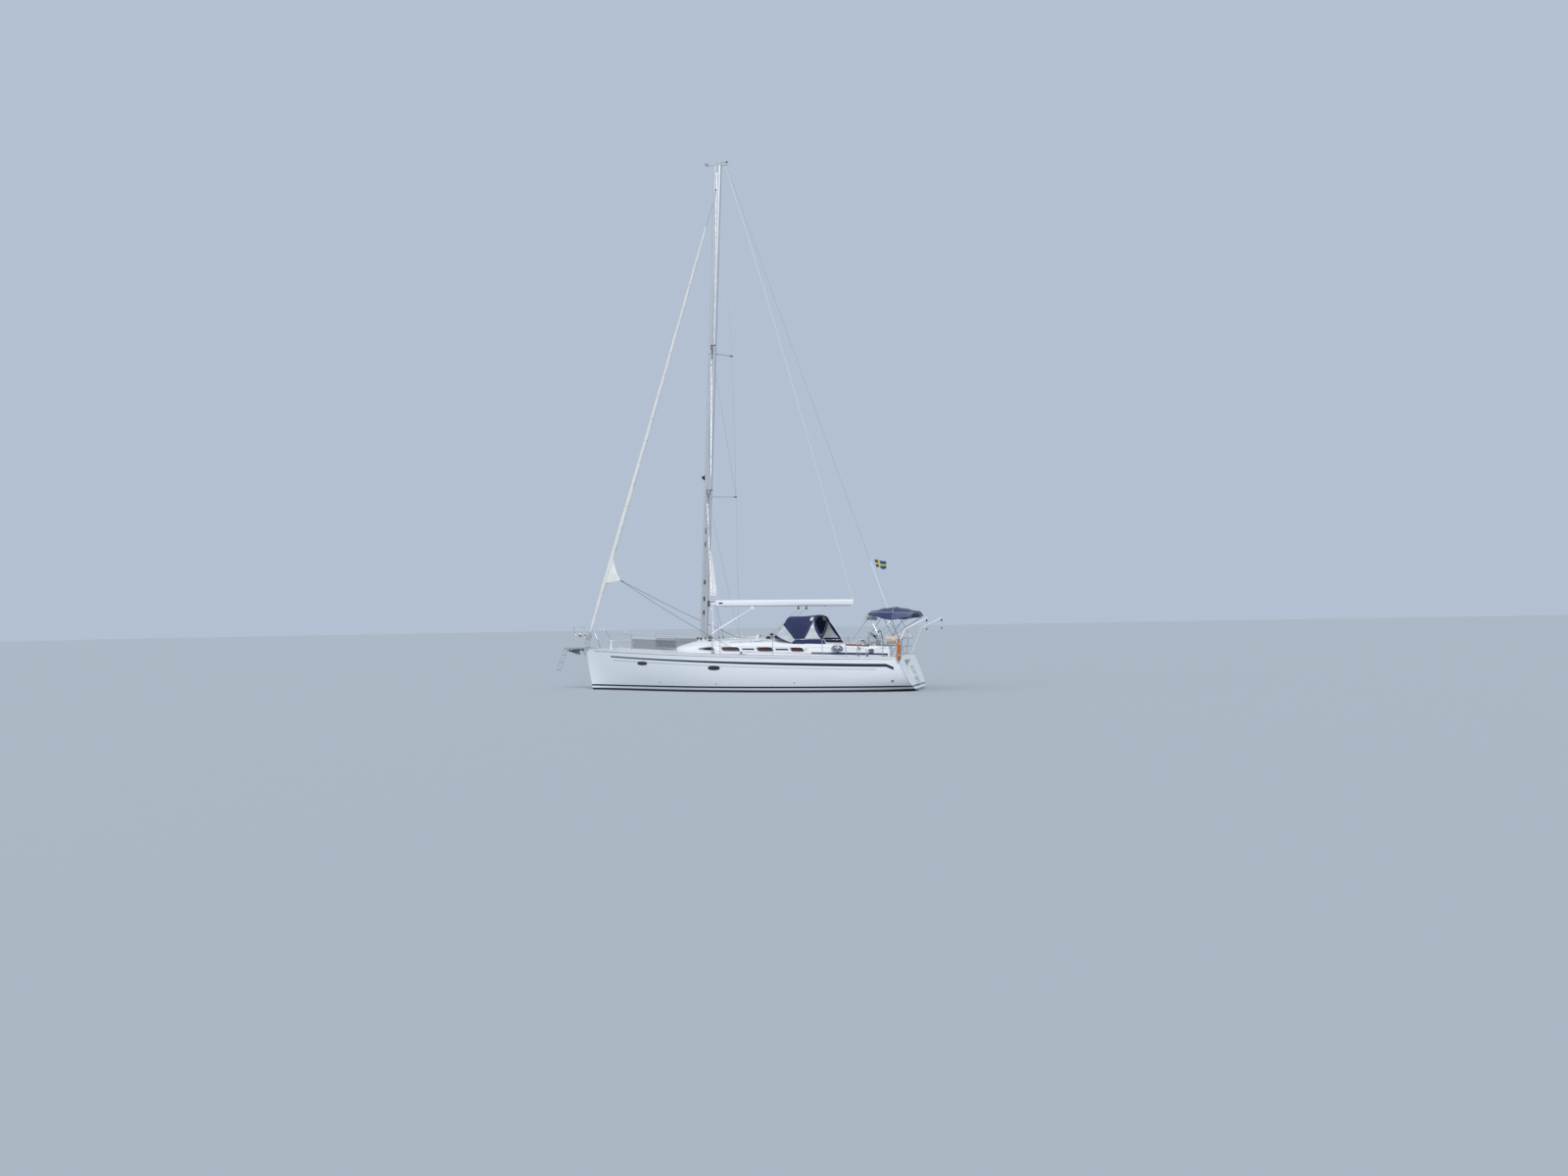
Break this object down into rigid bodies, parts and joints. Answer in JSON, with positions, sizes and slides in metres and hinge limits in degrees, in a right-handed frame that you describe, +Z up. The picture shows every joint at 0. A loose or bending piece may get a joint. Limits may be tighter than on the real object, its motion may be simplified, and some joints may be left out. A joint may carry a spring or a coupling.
{
  "type": "sailing yacht",
  "caption": "Cruising sloop with a fin keel, spade rudder, aft cockpit with sprayhood and bimini, furled genoa, in-mast furled mainsail, swinging boom, hatches and folding ladders.",
  "frame": {"origin": "on the waterline, on the centreline, at half the length of the hull", "axes": "+X points to the bow, +Y to port, +Z up"},
  "size_m": [14.7503, 4.0184, 21.664],
  "materials": {
    "gelcoat": "gloss",
    "antifouling": "matt",
    "steel": "polished",
    "anodised": "satin",
    "white_paint": "satin",
    "navy_canvas": "woven",
    "sailcloth": "woven",
    "tinted_glass": "gloss",
    "black_fittings": "satin",
    "bronze": "dull",
    "teak": "oiled",
    "orange_webbing": "woven",
    "grey_net": "netted",
    "engine_paint": "satin",
    "ensign_cloth": "woven"
  },
  "bodies": {
    "yacht": {"hull": "gelcoat", "transom_recess": "gelcoat", "deck": "gelcoat", "toe_rail": "anodised", "mast": "anodised", "masthead_crane": "anodised", "spreaders_lower": "anodised", "spreaders_upper": "anodised", "gooseneck": "black_fittings", "mainsail_clew": "sailcloth", "coachroof": "gelcoat", "window_strip_port": "tinted_glass", "window_strip_starboard": "tinted_glass", "cockpit": "gelcoat", "keel": "antifouling", "saildrive": "anodised", "engine": "engine_paint", "cabin_furniture": "teak", "shrouds_port": "steel", "shrouds_starboard": "steel", "forestay": "black_fittings", "furled_genoa": "sailcloth", "backstay": "steel", "pulpit_port": "steel", "pulpit_starboard": "steel", "pushpit": "steel", "lifelines_port": "steel", "lifelines_starboard": "steel", "foredeck_net_port": "grey_net", "foredeck_net_starboard": "grey_net", "bow_platform": "teak", "anchor": "steel", "davit_port": "white_paint", "davit_starboard": "white_paint", "sprayhood": "navy_canvas", "sprayhood_frame": "steel", "bimini": "navy_canvas", "bimini_frame": "steel", "pedestal": "white_paint", "winch_port": "black_fittings", "winch_starboard": "black_fittings", "rescue_sling": "orange_webbing", "ensign": "ensign_cloth"},
    "rudder": {"rudder": "antifouling"},
    "steering_wheel": {"steering_wheel": "steel"},
    "propeller": {"propeller": "bronze"},
    "line_reel": {"line_reel": "sailcloth"},
    "boom": {"boom": "white_paint", "vang": "white_paint", "topping_lift": "white_paint"},
    "fore_hatch": {"fore_hatch": "tinted_glass"},
    "saloon_hatch": {"saloon_hatch": "tinted_glass"},
    "anchor_locker_lid": {"anchor_locker_lid": "gelcoat"},
    "companionway_hatch": {"companionway_hatch": "tinted_glass"},
    "companionway_door_port": {"companionway_door_port": "teak"},
    "companionway_door_starboard": {"companionway_door_starboard": "teak"},
    "locker_lid_port": {"locker_lid_port": "teak"},
    "locker_lid_starboard": {"locker_lid_starboard": "teak"},
    "bow_ladder": {"bow_ladder": "steel"},
    "swim_ladder": {"swim_ladder": "steel"}
  },
  "joints": [
    {"name": "steering_wheel_turn", "type": "hinge", "parent": "yacht", "child": "steering_wheel", "pos_m": [-5.046, 0, 1.59], "axis": [1, 0, 0], "range_deg": [-540, 540]},
    {"name": "rudder_turn", "type": "hinge", "parent": "yacht", "child": "rudder", "pos_m": [-5.33, 0, -0.5], "axis": [0, 0, 1], "range_deg": [-35, 35]},
    {"name": "propeller_spin", "type": "hinge", "parent": "yacht", "child": "propeller", "pos_m": [-3.329, 0, -0.9], "axis": [1, 0, 0], "continuous": true},
    {"name": "line_reel_spin", "type": "hinge", "parent": "yacht", "child": "line_reel", "pos_m": [-5.74, 1.215, 1.78], "axis": [1, 0, 0], "continuous": true},
    {"name": "boom_swing", "type": "hinge", "parent": "yacht", "child": "boom", "pos_m": [1.28179, 0, 3.18534], "axis": [-0.0488, 0, 0.9988], "range_deg": [-62, 62]},
    {"name": "fore_hatch_hinge", "type": "hinge", "parent": "yacht", "child": "fore_hatch", "pos_m": [3.8, 0, 1.5143], "axis": [0, 1, 0], "range_deg": [0, 110]},
    {"name": "saloon_hatch_hinge", "type": "hinge", "parent": "yacht", "child": "saloon_hatch", "pos_m": [-0.14, 0, 1.9333], "axis": [0, 1, 0], "range_deg": [0, 85]},
    {"name": "anchor_locker_hinge", "type": "hinge", "parent": "yacht", "child": "anchor_locker_lid", "pos_m": [5.93, 0, 1.5497], "axis": [0, 1, 0], "range_deg": [0, 80]},
    {"name": "companionway_hatch_slide", "type": "slide", "parent": "yacht", "child": "companionway_hatch", "axis": [0.9999, 0, -0.0171], "range_m": [0, 0.55]},
    {"name": "companionway_door_port_hinge", "type": "hinge", "parent": "yacht", "child": "companionway_door_port", "pos_m": [-2.77, 0.355, 1.6], "axis": [0, 0, -1], "range_deg": [0, 170]},
    {"name": "companionway_door_starboard_hinge", "type": "hinge", "parent": "yacht", "child": "companionway_door_starboard", "pos_m": [-2.77, -0.355, 1.6], "axis": [0, 0, 1], "range_deg": [0, 170]},
    {"name": "locker_lid_port_hinge", "type": "hinge", "parent": "yacht", "child": "locker_lid_port", "pos_m": [-3.8, 0.975, 1.287], "axis": [-1, 0, 0], "range_deg": [0, 80]},
    {"name": "locker_lid_starboard_hinge", "type": "hinge", "parent": "yacht", "child": "locker_lid_starboard", "pos_m": [-3.8, -0.975, 1.287], "axis": [1, 0, 0], "range_deg": [0, 80]},
    {"name": "bow_ladder_hinge", "type": "hinge", "parent": "yacht", "child": "bow_ladder", "pos_m": [7.364, 0, 1.596], "axis": [0, -1, 0], "range_deg": [0, 150]},
    {"name": "swim_ladder_hinge", "type": "hinge", "parent": "yacht", "child": "swim_ladder", "pos_m": [-6.458, 0, 0.19], "axis": [0, -1, 0], "range_deg": [0, 180]}
  ],
  "couplings": [
    {"joint": "rudder_turn", "follows": "steering_wheel_turn", "ratio": 0.0648}
  ]
}
